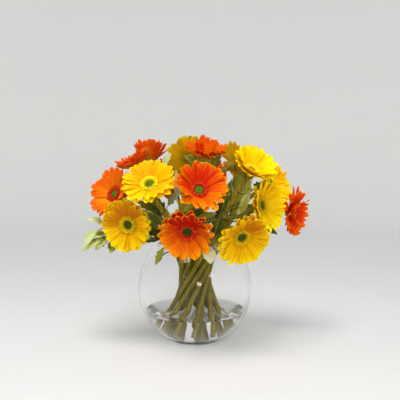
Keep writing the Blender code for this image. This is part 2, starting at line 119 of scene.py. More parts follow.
# Blooms: name, look, centre of the petals' root, the way the bloom faces, how many degrees its
# petals stand up more than a flat bloom's, and their length beside the usual
BLOOMS = (
    ("upper_left", "lemon", (-0.073, -0.075, 0.274), (-0.16, -0.74, 0.65), 3, 1.05),
    ("centre", "orange", (0.007, -0.104, 0.266), (0.22, -0.84, 0.48), 9, 1.06),
    ("lower_centre", "ember", (-0.011, -0.124, 0.204), (0.0, -0.91, -0.4), 8, 1.06),
    ("lower_left", "golden", (-0.108, -0.073, 0.209), (-0.3, -0.94, -0.13), 3, 1.03),
    ("lower_right", "golden", (0.074, -0.102, 0.193), (0.31, -0.86, -0.4), 8, 1.07),
    ("far_left", "flame", (-0.135, -0.032, 0.256), (-0.55, -0.72, 0.42), 8, 1.06),
    ("top_left", "scarlet", (-0.102, 0.014, 0.304), (-0.51, -0.08, 0.86), 14, 0.87),
    ("top_left_back", "scarlet", (-0.086, 0.081, 0.316), (0.05, 0.32, 0.94), 24, 0.87),
    ("top_back", "golden", (-0.010, 0.047, 0.320), (-0.2, 0.8, 0.55), 0, 1.0),
    ("top", "flame", (0.017, -0.015, 0.320), (0.08, -0.34, 0.93), 13, 0.92),
    ("top_right_back", "golden", (0.070, 0.040, 0.306), (0.78, 0.48, 0.38), 0, 1.0),
    ("upper_right", "canary", (0.092, -0.062, 0.295), (0.39, -0.575, 0.72), 17, 1.0),
    ("right", "amber", (0.109, -0.057, 0.239), (0.76, -0.64, 0.1), 9, 1.1),
    ("high_right", "lemon", (0.132, 0.011, 0.274), (0.7, -0.48, 0.53), 5, 1.05),
    ("far_right", "scarlet", (0.171, 0.012, 0.223), (0.8, -0.58, -0.12), -5, 1.07),
    ("back_left", "scarlet", (-0.042, 0.080, 0.281), (-0.38, 0.89, 0.22), 0, 1.0),
    ("back_right", "scarlet", (0.022, 0.097, 0.284), (0.25, 0.92, 0.25), 0, 0.9),
    ("back_low", "golden", (-0.017, 0.115, 0.181), (-0.05, 0.98, -0.2), 0, 1.0),
)

# Points along and across a petal, and sides of the core, of the CAD model's core and of the eye
PETAL_ROWS, PETAL_COLUMNS = 16, 9
CORE_SIDES, SOLID_CORE_SIDES, EYE_SIDES = 36, 18, 64
PETAL_WIDTH = 0.0114
# Petal layers of a bloom: count, length and width beside the usual, slope, height of the root
PETAL_LAYERS = (
    (19, 1.0, 1.02, 19.0, -0.0004),
    (19, 0.98, 1.0, 24.5, 0.0003),
)
# Sides on which a bloom's petals are ragged
RAGGED_SIDES = {
    "centre": (-0.8, 0.0, -0.6), "lower_centre": (0.97, 0.0, 0.05),
    "far_right": (-0.4, 0.0, -0.9),
}
# A short inner ring of standing petals, on the blooms whose eye is hidden by them
INNER_PETALS = {
    "far_right": (11, 0.56, 0.9, 52.0, 0.0012), "top": (11, 0.56, 0.95, 46.0, 0.0012),
}
# Eye: radius, height of its dome and of its edge, shares of the radius, and its threads
EYE_RADIUS = 0.0063
EYE_DOME = 0.003
EYE_EDGE = 0.0009
EYE_RINGS = (1.0, 1.0, 0.97, 0.9, 0.8, 0.69, 0.58, 0.47, 0.36, 0.25, 0.14)
THREAD_COUNT = 30
THREAD_RING = 0.0062
THREAD_HALF_WIDTH = 0.00028
COLLAR_THICKNESS = 0.0003
# Collar layers: count, root and tip radius, root and tip height, width
COLLAR_LAYERS = (
    (44, 0.0074, 0.0164, 0.0012, 0.0048, 0.0022),
    (40, 0.0072, 0.0138, 0.0014, 0.0062, 0.0019),
    (36, 0.007, 0.01, 0.0014, 0.006, 0.0013),
)

# Sprays: end of each leafy stem and the way it points there
SPRAYS = {
    "left": ((-0.092, -0.038, 0.196), (-0.9, -0.1, 0.2)),
    "front": ((-0.020, -0.062, 0.226), (0.1, -0.2, 0.9)),
    "right": ((0.060, -0.018, 0.258), (0.4, 0.2, 0.9)),
    "back": ((-0.034, 0.058, 0.262), (-0.2, 0.2, 0.9)),
}
FRONT_FACE = (0.0, -0.75, 0.66)
BACK_FACE = (0.0, 0.6, 0.8)
STALK_RADIUS = 0.0008
STALK_HANDLE = 0.3
BLADE_ARCH = 0.1
BLADE_THICKNESS = 0.0006
BLADE_SPREAD = 1.35
BLADE_ROWS, BLADE_COLUMNS = 41, 9
STALK_STEPS, STALK_SIDES = 12, 8
# Leaf looks: body tone (0 dark green, 0.4 olive, 0.5 fresh green, 0.7 tan, 1 grey green) and
# the share that its pale edge takes. SHADED leaves, dark green with no pale edge, are painted
# shade put into a dark gap between stems; the DARK leaves that fill such gaps are partly
# painted shade as well.
DARK, GREEN, OLIVE, TAN, GREY = (0.0, 0.08), (0.18, 0.25), (0.4, 0.2), (0.7, 0.35), (1.0, 0.25)
LIME, FADED, CREAM, PALE = (0.08, 0.44), (0.1, 0.72), (0.85, 0.9), (1.0, 1.0)
FRESH, SHADED = (0.49, 0.35), (0.0, 0.0)
# Leaves that face the front, and leaves that face the back: spray, share of its curve where
# the stalk leaves it, base, tip, width, look
LEAVES = (
    ("left", 0.95, (-0.152, -0.040, 0.191), (-0.189, -0.050, 0.165), 0.026, FADED),
    ("left", 0.95, (-0.148, -0.044, 0.187), (-0.163, -0.055, 0.166), 0.015, FADED),
    ("left", 0.85, (-0.154, -0.035, 0.206), (-0.181, -0.045, 0.217), 0.011, PALE),
    ("left", 0.8, (-0.139, -0.045, 0.180), (-0.141, -0.055, 0.158), 0.010, LIME),
    ("left", 0.45, (-0.070, -0.033, 0.209), (-0.095, -0.044, 0.234), 0.011, LIME),
    ("left", 0.35, (-0.050, -0.018, 0.220), (-0.082, -0.024, 0.248), 0.022, DARK),
    ("left", 0.55, (-0.075, -0.046, 0.187), (-0.095, -0.054, 0.180), 0.009, GREY),
    ("front", 0.75, (-0.046, -0.032, 0.237), (-0.023, -0.038, 0.262), 0.015, GREY),
    ("front", 0.85, (-0.024, -0.078, 0.230), (0.018, -0.097, 0.246), 0.018, OLIVE),
    ("front", 0.8, (0.006, -0.075, 0.213), (0.035, -0.083, 0.229), 0.014, OLIVE),
    ("front", 0.15, (-0.050, -0.080, 0.173), (-0.063, -0.084, 0.144), 0.010, OLIVE),
    ("front", 0.25, (-0.055, -0.068, 0.186), (-0.078, -0.072, 0.179), 0.008, DARK),
    ("right", 0.35, (0.022, -0.086, 0.176), (0.026, -0.092, 0.147), 0.019, CREAM),
    ("right", 0.3, (0.033, -0.080, 0.180), (0.043, -0.084, 0.162), 0.009, CREAM),
    ("right", 0.75, (0.078, -0.038, 0.225), (0.095, -0.040, 0.264), 0.012, (0.46, 0.6)),
    ("right", 0.8, (0.070, -0.010, 0.235), (0.065, -0.006, 0.269), 0.008, GREY),
    ("right", 0.95, (0.100, -0.016, 0.263), (0.117, -0.024, 0.277), 0.014, DARK),
    ("right", 0.6, (0.084, -0.026, 0.214), (0.100, -0.024, 0.238), 0.014, OLIVE),
    ("right", 0.3, (0.120, -0.025, 0.198), (0.141, -0.030, 0.187), 0.010, DARK),
    ("right", 0.95, (0.028, -0.005, 0.296), (0.047, -0.008, 0.324), 0.017, (0.4, 0.15)),
    ("back", 0.95, (-0.059, 0.040, 0.305), (-0.042, 0.038, 0.328), 0.012, PALE),
)
BACK_LEAVES = (
    ("back", 0.5, (-0.060, 0.070, 0.205), (-0.095, 0.085, 0.195), 0.018, LIME),
    ("back", 0.6, (-0.035, 0.075, 0.205), (-0.058, 0.112, 0.192), 0.016, OLIVE),
    ("back", 0.7, (0.015, 0.075, 0.210), (0.040, 0.112, 0.198), 0.018, DARK),
    ("back", 0.55, (0.050, 0.062, 0.205), (0.088, 0.085, 0.200), 0.018, LIME),
    ("back", 0.4, (-0.078, 0.044, 0.200), (-0.115, 0.052, 0.190), 0.018, GREY),
)
LEAF_LEAN = 0.004
# More leaves, placed by pixels of the frame: spray, share of its curve, pixels of the base and
# of the tip, depth, width, look
MORE_LEAVES = (
    ("left", 0.6, (162, 217), (142, 198), -0.020, 0.022, (0.2, 0.08)),
    ("left", 0.75, (162, 226), (138, 207), -0.050, 0.011, LIME),
    ("left", 0.75, (157, 230), (146, 214), -0.046, 0.013, GREEN),
    ("left", 0.75, (159, 240), (139, 242), -0.052, 0.010, GREY),
    ("left", 0.6, (161, 237), (141, 228), -0.036, 0.018, DARK),
    ("left", 1.0, (107, 233), (86, 239), -0.046, 0.014, FADED),
    ("left", 1.0, (109, 236), (95, 250), -0.044, 0.016, FRESH),
    ("left", 0.95, (116, 243), (111, 253), -0.044, 0.012, GREEN),
    ("front", 0.15, (162, 256), (155, 264), -0.082, 0.008, OLIVE),
    ("front", 0.9, (190, 215), (177, 200), -0.076, 0.019, OLIVE),
    ("front", 1.0, (188, 210), (205, 206), -0.088, 0.013, TAN),
    ("front", 0.85, (197, 222), (216, 213), -0.082, 0.014, OLIVE),
    ("front", 0.95, (190, 216), (207, 211), -0.068, 0.017, DARK),
    ("front", 0.6, (195, 227), (218, 219), -0.056, 0.017, DARK),
    ("back", 1.0, (197, 168), (184, 155), 0.018, 0.013, OLIVE),
    ("right", 1.0, (213, 170), (196, 158), -0.036, 0.013, (0.4, 0.1)),
    ("right", 0.3, (212, 238), (222, 210), 0.016, 0.017, DARK),
    ("right", 0.55, (217, 226), (231, 190), 0.014, 0.020, DARK),
    ("right", 0.7, (220, 220), (233, 178), 0.040, 0.020, GREEN),
    ("right", 0.8, (230, 214), (252, 190), 0.020, 0.018, (0.14, 0.6)),
    ("right", 0.7, (228, 219), (254, 204), 0.010, 0.014, FRESH),
    ("right", 0.95, (229, 205), (241, 183), 0.034, 0.016, OLIVE),
    ("right", 1.0, (231, 194), (244, 170), 0.040, 0.014, OLIVE),
    ("right", 0.6, (236, 221), (250, 214), 0.000, 0.011, OLIVE),
    ("back", 1.0, (178, 196), (176, 170), 0.030, 0.012, PALE),
    ("back", 0.9, (183, 205), (200, 190), 0.040, 0.022, GREEN),
    ("back", 0.6, (187, 222), (206, 212), 0.040, 0.020, DARK),
    ("left", 1.0, (97, 232), (82, 250), -0.052, 0.008, PALE),
    ("right", 0.9, (244, 200), (252, 179), 0.012, 0.016, FRESH),
    ("right", 0.6, (236, 215), (254, 205), -0.034, 0.008, CREAM),
    ("left", 0.6, (152, 213), (135, 199), -0.030, 0.014, (0.22, 0.12)),
    ("right", 0.8, (237, 205), (247, 188), 0.014, 0.010, FRESH),
    # These two dark leaves are painted shade: sheets put in the dark gap left of the upper_right
    # stem
    ("right", 0.5, (214, 238), (223, 209), -0.034, 0.013, SHADED),
    ("right", 0.75, (221, 214), (229, 190), -0.036, 0.011, SHADED),
)


# Camera and lights


def seen_at(pixel, depth):
    """The point at a depth (y) that the camera sees at a pixel of the frame."""
    ahead = np.array([0, math.cos(CAMERA_PITCH), -math.sin(CAMERA_PITCH)])
    up = np.array([0, math.sin(CAMERA_PITCH), math.cos(CAMERA_PITCH)])
    middle = FRAME_PIXELS // 2
    ray = ahead + up * (middle - pixel[1]) / FOCAL_PIXELS
    ray[0] = (pixel[0] - middle) / FOCAL_PIXELS
    return np.array(CAMERA_PLACE) + ray * (depth - CAMERA_PLACE[1]) / ray[1]


def add_object(name, data):
    """Link a new object that holds the data."""
    item = bpy.data.objects.new(name, data)
    bpy.context.scene.collection.objects.link(item)
    return item


def add_camera():
    """The photograph's camera."""
    camera = add_object("camera", bpy.data.cameras.new("camera"))
    camera.data.sensor_width = SENSOR_WIDTH
    camera.data.lens = FOCAL_PIXELS * SENSOR_WIDTH / FRAME_PIXELS
    camera.location = CAMERA_PLACE
    camera.rotation_euler = (math.pi / 2 - CAMERA_PITCH, 0, 0)
    bpy.context.scene.camera = camera


def add_light(name, place, size, power, colour):
    """A square soft light at a place, turned to the bunch."""
    light = add_object(name, bpy.data.lights.new(name, "AREA"))
    light.data.size = size
    light.data.energy = power
    light.data.color = colour
    light.location = place
    away = Vector(place) - Vector(LIGHT_AIM)
    light.rotation_euler = away.to_track_quat("Z", "Y").to_euler()


# Surfaces


def unit(vectors):
    """The vectors divided by their own lengths."""
    return np.asarray(vectors) / np.linalg.norm(vectors, axis=-1, keepdims=True)


def surface(points, quads, triangles, uv, tone, back, rim, finish):
    """One surface's arrays: tone, back and rim are numbers that its material reads."""
    count = len(points)
    return {
        "points": points, "quads": quads, "triangles": triangles, "uv": uv,
        "tone": np.broadcast_to(tone, count), "back": np.broadcast_to(back, count),
        "rim": np.broadcast_to(rim, count), "finish": finish,
    }


def circle(sides):
    """Angles of equal steps round a full turn."""
    return np.linspace(0, 2 * math.pi, sides, endpoint=False)


def swung(out, aside, height, angle):
    """Points out and aside from the Z axis at a height, turned about the axis by an angle."""
    x = out * np.cos(angle) - aside * np.sin(angle)
    y = out * np.sin(angle) + aside * np.cos(angle)
    return np.stack(np.broadcast_arrays(x, y, height), axis=-1)


def sheet_grid(rows, columns, start=0):
    """How far along (start to 1) and across (-1 to 1) the points of sheets lie."""
    return np.linspace(start, 1, rows)[None, :, None], np.linspace(-1, 1, columns)[None, None, :]


def sheet_uv(rows, across):
    """How far across and along each point of a sheet lies, row by row."""
    along, across = np.meshgrid(np.linspace(0, 1, rows), across, indexing="ij")
    return np.stack([across, along], axis=-1).reshape(-1, 2)


def fan(pole, first, second):
    """Triangles from one point to pairs of neighbours on a ring."""
    return np.stack([np.full(len(first), pole), first, second], axis=1)


def ring_faces(rows, sides):
    """A ring's point numbers, their neighbours, and the quads between rings that follow."""
    here = np.arange(sides)
    beside = np.roll(here, -1)
    step = np.arange(rows - 1)[:, None] * sides
    low, high = here + step, beside + step
    quads = np.stack([low, high, high + sides, low + sides], axis=-1)
    return here, beside, quads.reshape(-1, 4)


def thin_shells(grid, thickness, tone=0.0, rim=0.0, finish=0):
    """Closed thin solids, one for each sheet of grid (sheets, rows, columns, 3).

    The front is the sheet itself, the back is the sheet moved against its normals (the cross
    product of its row and column directions) by the thickness, and a wall joins their edges.
    """
    sheets, rows, columns, _ = grid.shape
    normal = unit(np.cross(np.gradient(grid, axis=1), np.gradient(grid, axis=2)))
    points = np.stack([grid, grid - normal * thickness], axis=1).reshape(-1, 3)
    layer = rows * columns
    cell = (np.arange(rows - 1)[:, None] * columns + np.arange(columns - 1)).ravel()
    front = np.stack([cell, cell + columns, cell + columns + 1, cell + 1], axis=1)
    number = np.arange(layer).reshape(rows, columns)
    edge = np.concatenate([number[:-1, 0], number[-1, :-1], number[:0:-1, -1], number[0, :0:-1]])
    after = np.roll(edge, -1)
    wall = np.stack([after, edge, edge + layer, after + layer], axis=1)
    quads = np.concatenate([front, front[:, ::-1] + layer, wall])
    quads = (quads + np.arange(sheets)[:, None, None] * 2 * layer).reshape(-1, 4)
    uv = np.tile(sheet_uv(rows, np.linspace(0, 1, columns)), (2 * sheets, 1))
    back = np.tile(np.repeat([0.0, 1.0], layer), sheets)
    tone, rim = (np.repeat(np.broadcast_to(value, sheets), 2 * layer) for value in (tone, rim))
    return surface(points, quads, np.empty((0, 3), int), uv, tone, back, rim, finish)


def ringed_solid(rings, start, end, tone=0.0, rim=0.0, finish=0):
    """A closed solid from rings (rows, sides, 3), fanned to a start and an end point."""
    rows, sides, _ = rings.shape
    here, beside, quads = ring_faces(rows, sides)
    last, poles = (rows - 1) * sides, rows * sides
    ends = [fan(poles, beside, here), fan(poles + 1, here + last, beside + last)]
    points = np.concatenate([rings.reshape(-1, 3), [start], [end]])
    uv = np.concatenate([sheet_uv(rows, np.abs(2 * here / sides - 1)), [[0.5, 0], [0.5, 1]]])
    return surface(points, quads, np.concatenate(ends), uv, tone, 0.0, rim, finish)


def tube(path, radii, sides, hint, tone, finish=0):
    """A round tube: circles of the radii, square to the path's direction at each point."""
    tangent = unit(np.gradient(path, axis=0))
    first = unit(hint - tangent * (tangent @ hint)[:, None])
    second = np.cross(tangent, first)
    angle = circle(sides)[:, None]
    offset = first[:, None] * np.cos(angle) + second[:, None] * np.sin(angle)
    rings = path[:, None] + offset * radii[:, None, None]
    return ringed_solid(rings, path[0], path[-1], tone, 0.0, finish)


def turned(profile, sides):
    """A profile of (radius, height) rows turned about Z; its first and last rows are on Z."""
    rings = swung(profile[1:-1, :1], 0, profile[1:-1, 1:], circle(sides))
    return ringed_solid(rings, (0, 0, profile[0, 1]), (0, 0, profile[-1, 1]))


def make_piece(name, surfaces, materials, node, crease=50):
    """Put surfaces into one mesh that rides on the root and stands for a CAD node."""

    def joined(key):
        """One array of all surfaces, end to end."""
        return np.concatenate([s[key] for s in surfaces])

    def fill(items, key, values, kind=np.float32):
        """Put an array into the mesh's items, flat."""
        items.foreach_set(key, values.astype(kind).ravel())

    kinds = ("quads", "triangles")
    starts = np.cumsum([0] + [len(s["points"]) for s in surfaces])
    quads, triangles = (np.concatenate([s[kind] + n for s, n in zip(surfaces, starts)])
                        for kind in kinds)
    finish = [np.full(len(s[kind]), s["finish"]) for kind in kinds for s in surfaces]
    corners = np.concatenate([quads.ravel(), triangles.ravel()])
    first = np.cumsum([0] + [4] * len(quads) + [3] * len(triangles))[:-1]
    mesh = bpy.data.meshes.new(name)
    mesh.vertices.add(starts[-1])
    fill(mesh.vertices, "co", joined("points"))
    mesh.loops.add(len(corners))
    fill(mesh.loops, "vertex_index", corners, np.int32)
    mesh.polygons.add(len(first))
    fill(mesh.polygons, "loop_start", first, np.int32)
    mesh.update(calc_edges=True)
    fill(mesh.polygons, "material_index", np.concatenate(finish), np.int32)
    fill(mesh.polygons, "use_smooth", np.ones(len(first)), bool)
    fill(mesh.uv_layers.new(name="surface").data, "uv", joined("uv")[corners])
    for key in ("tone", "back", "rim"):
        fill(mesh.attributes.new(key, "FLOAT", "POINT").data, "value", joined(key))
    mesh.set_sharp_from_angle(angle=math.radians(crease))
    for material in materials:
        mesh.materials.append(material)
    piece = add_object(name, mesh)
    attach(piece, "root")
    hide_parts(node)


# Finishes


class Finish:
    """A Principled material, with short calls that add nodes and return an output of theirs."""

    def __init__(self, name, roughness, **fixed):
        """A new material; each fixed value goes to the shader's socket of that name."""
        self.material = bpy.data.materials.new(name)
        self.material.use_nodes = True
        self.tree = self.material.node_tree
        self.shader = self.tree.nodes["Principled BSDF"]
        self.shader.inputs["Roughness"].default_value = roughness
        for socket, value in fixed.items():
            self.shader.inputs[socket.replace("_", " ")].default_value = value

    def add(self, kind, inputs, output=0, **settings):
        """One node with its settings, whose inputs are linked to outputs or set to values."""
        node = self.tree.nodes.new("ShaderNode" + kind)
        for key, value in settings.items():
            setattr(node, key, value)
        for key, value in inputs.items():
            if isinstance(value, bpy.types.NodeSocket):
                self.tree.links.new(value, node.inputs[key])
            else:
                node.inputs[key].default_value = value
        return node.outputs[output]

    def attribute(self, name):
        """A number that the mesh holds at its points: tone, back or rim."""
        return self.add("Attribute", {}, "Fac", attribute_name=name)

    def place(self):
        """The place on the piece, in metres."""
        return self.add("TexCoord", {}, "Object")

    def sum(self, operation, first, second=0.0, third=0.0):
        """One operation on up to three numbers."""
        return self.add("Math", {0: first, 1: second, 2: third}, operation=operation)

    def times(self, first, second):
        """The product of two numbers."""
        return self.sum("MULTIPLY", first, second)

    def larger(self, first, second):
        """The larger one of two numbers."""
        return self.sum("MAXIMUM", first, second)

    def mix(self, share, first, second):
        """The first colour, turned into the second by the share."""
        colours = [(*c, 1.0) if isinstance(c, tuple) else c for c in (first, second)]
        return self.add("Mix", {0: share, 6: colours[0], 7: colours[1]}, 2, data_type="RGBA")

    def layers(self, colour, *coats):
        """A colour with each coat (share and colour) laid over it in turn."""
        for share, coat in coats:
            colour = self.mix(share, colour, coat)
        return colour

    def between(self, value, low, high, top=1.0):
        """0 below low, top above high, and a smooth rise from one to the other."""
        inputs = {"Value": value, "From Min": low, "From Max": high, "To Max": top}
        return self.add("MapRange", inputs, interpolation_type="SMOOTHSTEP")

    def noise(self, vector, scale, detail=2.0):
        """Cloudy noise, finer as the scale grows."""
        return self.add("TexNoise", {"Vector": vector, "Scale": scale, "Detail": detail}, "Fac")

    def stretched(self, vector, scale, shift=(0.0, 0.0, 0.0)):
        """A vector times a scale, plus a shift."""
        return self.add("VectorMath", {0: vector, 1: scale, 2: shift}, operation="MULTIPLY_ADD")

    def sheet_place(self):
        """How far out from the midline (0 to 1), how far along, and the two as they come."""
        uv = self.add("UVMap", {}, uv_map="surface")
        split = self.add("SeparateXYZ", {"Vector": uv}, 0).node
        out = self.sum("ABSOLUTE", self.sum("MULTIPLY_ADD", split.outputs[0], 2.0, -1.0))
        return out, split.outputs[1], uv

    def bump(self, height, strength, distance):
        """Raise the surface's look by a height times the distance."""
        inputs = {"Height": height, "Strength": strength, "Distance": distance}
        bump = self.add("Bump", inputs, "Normal")
        self.tree.links.new(bump, self.shader.inputs["Normal"])

    def finish(self, colour, height=None, strength=0.3, distance=0.0005):
        """Join up the colour, a bump and a roughness that wear varies by 0.15 each way."""
        self.tree.links.new(colour, self.shader.inputs["Base Color"])
        rough = self.shader.inputs["Roughness"]
        wear = self.noise(self.place(), 240.0)
        self.tree.links.new(self.sum("MULTIPLY_ADD", wear, 0.3, rough.default_value - 0.15), rough)
        if height is not None:
            self.bump(height, strength, distance)
        return self.material


def petal_finish(name, root, middle, tip, edge, fold, back, top_shade):
    """Petal: colour from root to tip, paler edges, dark fine lines, painted shade in the two
    grooves, another colour behind.

    Petals that point upwards take the fold's colour as painted shade, since their faces turn
    away from the light above, by the share given as the last argument.
    """
    f = Finish(name, 0.62, Subsurface_Weight=0.25, Subsurface_Scale=0.002,
               Subsurface_Radius=(1.0, 0.4, 0.05), Specular_IOR_Level=0.06)
    out, along, uv = f.sheet_place()
    tone = f.attribute("tone")
    shift = f.add("CombineXYZ", {0: f.times(tone, 31.0), 1: tone, 2: 0.0})
    lines = f.noise(f.stretched(uv, (9.0, 0.8, 1.0), shift), 1.6, 3.0)
    # deep: painted shade on petals that point up (the rim attribute times the top shade), or a
    # random deeper tone
    deep = f.larger(f.times(f.attribute("rim"), top_shade), f.between(tone, 0.65, 1.0, 0.4))
    rim = f.larger(f.between(out, 0.76, 1.0), f.between(along, 0.9, 1.0))
    edging = f.times(rim, f.between(along, 0.3, 0.9))
    # groove: painted shade along the petal's two grooves; dark joins it to the random fine lines
    groove = f.between(f.sum("ABSOLUTE", f.sum("SUBTRACT", out, 0.5)), 0.14, 0.0)
    dark = f.larger(f.between(lines, 0.48, 0.62, 0.8), f.times(groove, 0.45))
    ends = f.larger(f.times(rim, 0.5), f.between(along, 0.76, 1.0, 0.75))
    colour = f.layers(
        root, (f.between(along, 0.02, 0.45), middle), (f.between(along, 0.45, 0.98), tip),
        (f.times(deep, f.between(along, 1.8, 0.45)), fold), (f.times(edging, 0.62), edge),
        (f.times(dark, f.between(along, 1.2, 0.5)), fold))
    behind = f.layers(
        back, (f.times(lines, 0.6), fold), (f.between(tone, 0.3, 0.7, 0.75), middle),
        (f.between(along, 0.5, 0.05, 0.6), (0.32, 0.21, 0.01)), (ends, tip))
    colour = f.mix(f.times(f.attribute("back"), 0.85), colour, behind)
    return f.finish(colour, lines, 0.35, 0.0004)


def collar_finish(name, body, fleck, depth):
    """Collar of short florets: one colour, dark at the roots, paler tips on the inner ones."""
    f = Finish(name, 0.6, Subsurface_Weight=0.15, Subsurface_Scale=0.002,
               Specular_IOR_Level=0.06)
    _, along, _ = f.sheet_place()
    grain = f.noise(f.place(), 1100.0)
    tips = f.times(f.between(along, 0.55, 1.0), f.between(f.attribute("tone"), 0.35, 1.0))
    colour = f.layers(
        depth, (f.between(along, 0.0, 0.55), body),
        (f.between(grain, 0.45, 0.7, 0.4), depth), (tips, fleck))
    return f.finish(colour, grain, 0.3, 0.0003)


def eye_finish():
    """Eye: green with paler grains; rim darkens it, and tone turns to the threads' colour."""
    f = Finish("eye_green", 0.65, Specular_IOR_Level=0.1)
    grain = f.noise(f.place(), 900.0)
    _, along, _ = f.sheet_place()
    colour = f.layers(
        (0.1, 0.17, 0.008), (f.between(along, 0.35, 1.0), (0.05, 0.22, 0.008)),
        (f.between(grain, 0.5, 0.75), (0.2, 0.36, 0.02)),
        (f.attribute("tone"), (0.62, 0.42, 0.03)), (f.attribute("rim"), (0.012, 0.035, 0.005)))
    return f.finish(colour, grain, 0.5, 0.0004)


def stem_finish():
    """Stem: streaked olive green, browner towards the bloom, and darker down in the bowl, as
    painted shade from the blooms above.
    """
    f = Finish("stem_green", 0.5, Subsurface_Weight=0.08, Subsurface_Scale=0.003,
               Specular_IOR_Level=0.14)
    place = f.place()
    streak = f.noise(f.stretched(place, (260.0, 260.0, 14.0)), 1.0, 3.0)
    # height: below z 0.165 the stem darkens towards z 0.12, painted shade of the blooms above
    height = f.add("SeparateXYZ", {"Vector": place}, 2)
    colour = f.layers(
        (0.17, 0.125, 0.004), (f.between(streak, 0.35, 0.7), (0.46, 0.37, 0.025)),
        (f.between(f.noise(place, 38.0), 0.45, 0.7, 0.5), (0.22, 0.21, 0.014)),
        (f.attribute("tone"), (0.26, 0.17, 0.012)),
        (f.between(height, 0.165, 0.12, 0.62), (0.105, 0.08, 0.003)))
    return f.finish(colour, streak, 0.4, 0.0005)


def leaf_finish():
    """Leaf: a body tone with paler ribs, paling towards its edges and tip in a wandering line."""
    f = Finish("leaf_green", 0.55, Subsurface_Weight=0.12, Subsurface_Scale=0.003,
               Specular_IOR_Level=0.08)
    out, along, _ = f.sheet_place()
    tone, rim = f.attribute("tone"), f.attribute("rim")
    place = f.place()
    mottle = f.noise(place, 150.0, 3.0)
    slant = f.sum("MULTIPLY_ADD", along, 46.0, f.times(out, -11.0))
    ribs = f.between(f.sum("SINE", slant), 0.75, 1.0, 0.3)
    rib = f.larger(ribs, f.between(out, 0.14, 0.03, 0.55))
    # Tone 0 gives the darkest green, which the SHADED leaves use as painted shade
    body = f.layers(
        (0.024, 0.04, 0.005), (f.between(tone, 0.0, 0.4), (0.23, 0.22, 0.02)),
        (f.between(tone, 0.41, 0.47), (0.38, 0.38, 0.03)),
        (f.between(tone, 0.52, 0.7), (0.33, 0.21, 0.09)),
        (f.between(tone, 0.75, 1.0), (0.22, 0.24, 0.11)),
        (f.between(mottle, 0.4, 0.65, 0.42), (0.13, 0.16, 0.012)),
        (rib, (0.34, 0.36, 0.06)))
    reach = f.sum("MULTIPLY_ADD", out, 0.4, f.times(along, 0.7))
    reach = f.sum("ADD", reach, f.sum("MULTIPLY_ADD", f.noise(place, 220.0), 0.5, -0.25))
    start = f.sum("SUBTRACT", 1.05, rim)
    paleness = f.between(f.sum("SUBTRACT", reach, start), -0.15, 0.35)
    pale = f.layers(
        (0.52, 0.58, 0.17), (f.between(tone, 0.3, 0.9), (0.68, 0.7, 0.42)),
        (f.between(tone, 0.92, 0.98), (0.55, 0.62, 0.3)))
    colour = f.layers(
        body, (f.times(paleness, f.between(rim, 0.05, 0.35)), pale),
        (f.times(f.attribute("back"), 0.35), (0.22, 0.29, 0.1)))
    return f.finish(colour, f.sum("SUBTRACT", mottle, f.times(rib, 0.8)), 0.35, 0.0006)


def clear_finish(name, colour, bending, shine, ripple, swell_height):
    """Clear glass or water: it bends what is behind it, and lets light reach what is in it."""
    f = Finish(name, 0.0, Transmission_Weight=1.0, IOR=bending)
    f.shader.inputs["Base Color"].default_value = (*colour, 1.0)
    f.shader.inputs["Specular Tint"].default_value = (*shine, 1.0)
    f.bump(f.noise(f.place(), ripple), 0.25, swell_height)
    clear = f.add("BsdfTransparent", {"Color": (*colour, 1.0)})
    seen = f.shader.outputs[0]
    for ray in ("Is Diffuse Ray", "Is Shadow Ray"):
        seen = f.add("MixShader", {0: f.add("LightPath", {}, ray), 1: seen, 2: clear})
    f.tree.links.new(seen, f.tree.nodes["Material Output"].inputs["Surface"])
    return f.material


def floor_finish():
    """Pale matt floor with a very faint mottle, a little greyer where it curves up; further out it
    also glows faintly, painted light that lights the bunch from all round.
    """
    f = Finish("pale_floor", 0.75)
    cloud = f.noise(f.place(), 1.5)
    far = f.between(f.add("VectorMath", {0: f.place()}, "Value", operation="LENGTH"), 0.5, 1.6)
    near = f.mix(cloud, (0.76, 0.76, 0.76), (0.8, 0.8, 0.8))
    # Painted light: the far floor and wall glow, with a strength up to 0.07, though no lamp is
    # there
    f.shader.inputs["Emission Color"].default_value = (1.0, 1.0, 0.98, 1.0)
    f.tree.links.new(f.times(far, 0.07), f.shader.inputs["Emission Strength"])
    return f.finish(f.mix(far, near, (0.75, 0.75, 0.74)))


# The bowl and its water


def bowl_curve(radius, depth, start_radius, end_radius):
    """Half ellipse below the widest ring and circle above it, between two radii."""
    low = np.linspace(math.asin(start_radius / radius), math.pi / 2, BOWL_STEPS)
    high = np.linspace(0, math.acos(end_radius / radius), BOWL_STEPS)[1:]
    lower = np.stack([radius * np.sin(low), BOWL_CENTRE_Z - depth * np.cos(low)], axis=1)
    upper = np.stack([radius * np.cos(high), BOWL_CENTRE_Z + radius * np.sin(high)], axis=1)
    return np.concatenate([lower, upper])


def inside_curve(grow=0.0):
    """Profile of the bowl's inside from its floor up, moved out into the wall by grow."""
    radius, depth = BOWL_RADIUS - WALL + grow, BOWL_DEPTH - WALL + grow
    floor = BASE_THICKNESS - grow
    start = radius * math.sqrt(1 - ((BOWL_CENTRE_Z - floor) / depth) ** 2)
    return bowl_curve(radius, depth, start, MOUTH_RADIUS - WALL / 2)


